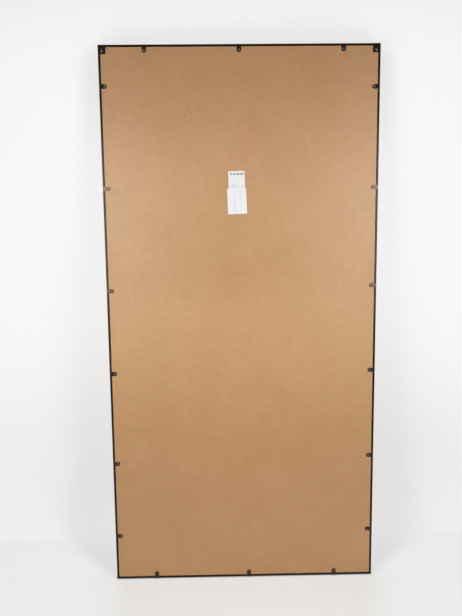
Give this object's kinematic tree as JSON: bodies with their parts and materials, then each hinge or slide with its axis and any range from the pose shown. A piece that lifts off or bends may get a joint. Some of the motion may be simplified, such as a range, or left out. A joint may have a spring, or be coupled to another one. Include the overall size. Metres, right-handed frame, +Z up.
{
  "type": "framed full-length wall mirror",
  "caption": "Tall framed mirror with a thin mitred black steel frame, fibreboard back held by screwed tabs, and keyhole hanger plates in the top corners.",
  "frame": {"origin": "middle of the bottom edge, on the surface it stands on, midway through the overall depth", "axes": "+Z up along the height, +X to the right as seen from the front, the mirror faces -Y and the back with its hangers faces +Y"},
  "size_m": [0.9, 0.0217, 1.8],
  "materials": {
    "frame_steel": "satin",
    "screw_steel": "satin",
    "mirror": "polished",
    "fibreboard": "matte",
    "foam": "matte",
    "tape": "matte",
    "block_rubber": "matte",
    "label_paper": "matte"
  },
  "bodies": {
    "root": {"back_panel": "fibreboard", "bottom_rail": "frame_steel", "foam_liner": "foam", "glazing_tape_bottom": "tape", "glazing_tape_left": "tape", "glazing_tape_right": "tape", "glazing_tape_top": "tape", "hanger_plate_left": "frame_steel", "hanger_plate_right": "frame_steel", "label_lower": "label_paper", "label_upper": "label_paper", "left_stile": "frame_steel", "mirror_glass": "mirror", "right_stile": "frame_steel", "screw_bottom_1": "screw_steel", "screw_bottom_2": "screw_steel", "screw_bottom_3": "screw_steel", "screw_left_1": "screw_steel", "screw_left_2": "screw_steel", "screw_left_3": "screw_steel", "screw_left_4": "screw_steel", "screw_left_5": "screw_steel", "screw_left_6": "screw_steel", "screw_right_1": "screw_steel", "screw_right_2": "screw_steel", "screw_right_3": "screw_steel", "screw_right_4": "screw_steel", "screw_right_5": "screw_steel", "screw_right_6": "screw_steel", "screw_top_1": "screw_steel", "screw_top_2": "screw_steel", "screw_top_3": "screw_steel", "setting_block_left": "block_rubber", "setting_block_right": "block_rubber", "tab_bottom_1": "frame_steel", "tab_bottom_2": "frame_steel", "tab_bottom_3": "frame_steel", "tab_left_1": "frame_steel", "tab_left_2": "frame_steel", "tab_left_3": "frame_steel", "tab_left_4": "frame_steel", "tab_left_5": "frame_steel", "tab_left_6": "frame_steel", "tab_right_1": "frame_steel", "tab_right_2": "frame_steel", "tab_right_3": "frame_steel", "tab_right_4": "frame_steel", "tab_right_5": "frame_steel", "tab_right_6": "frame_steel", "tab_top_1": "frame_steel", "tab_top_2": "frame_steel", "tab_top_3": "frame_steel", "top_rail": "frame_steel"}
  },
  "joints": []
}
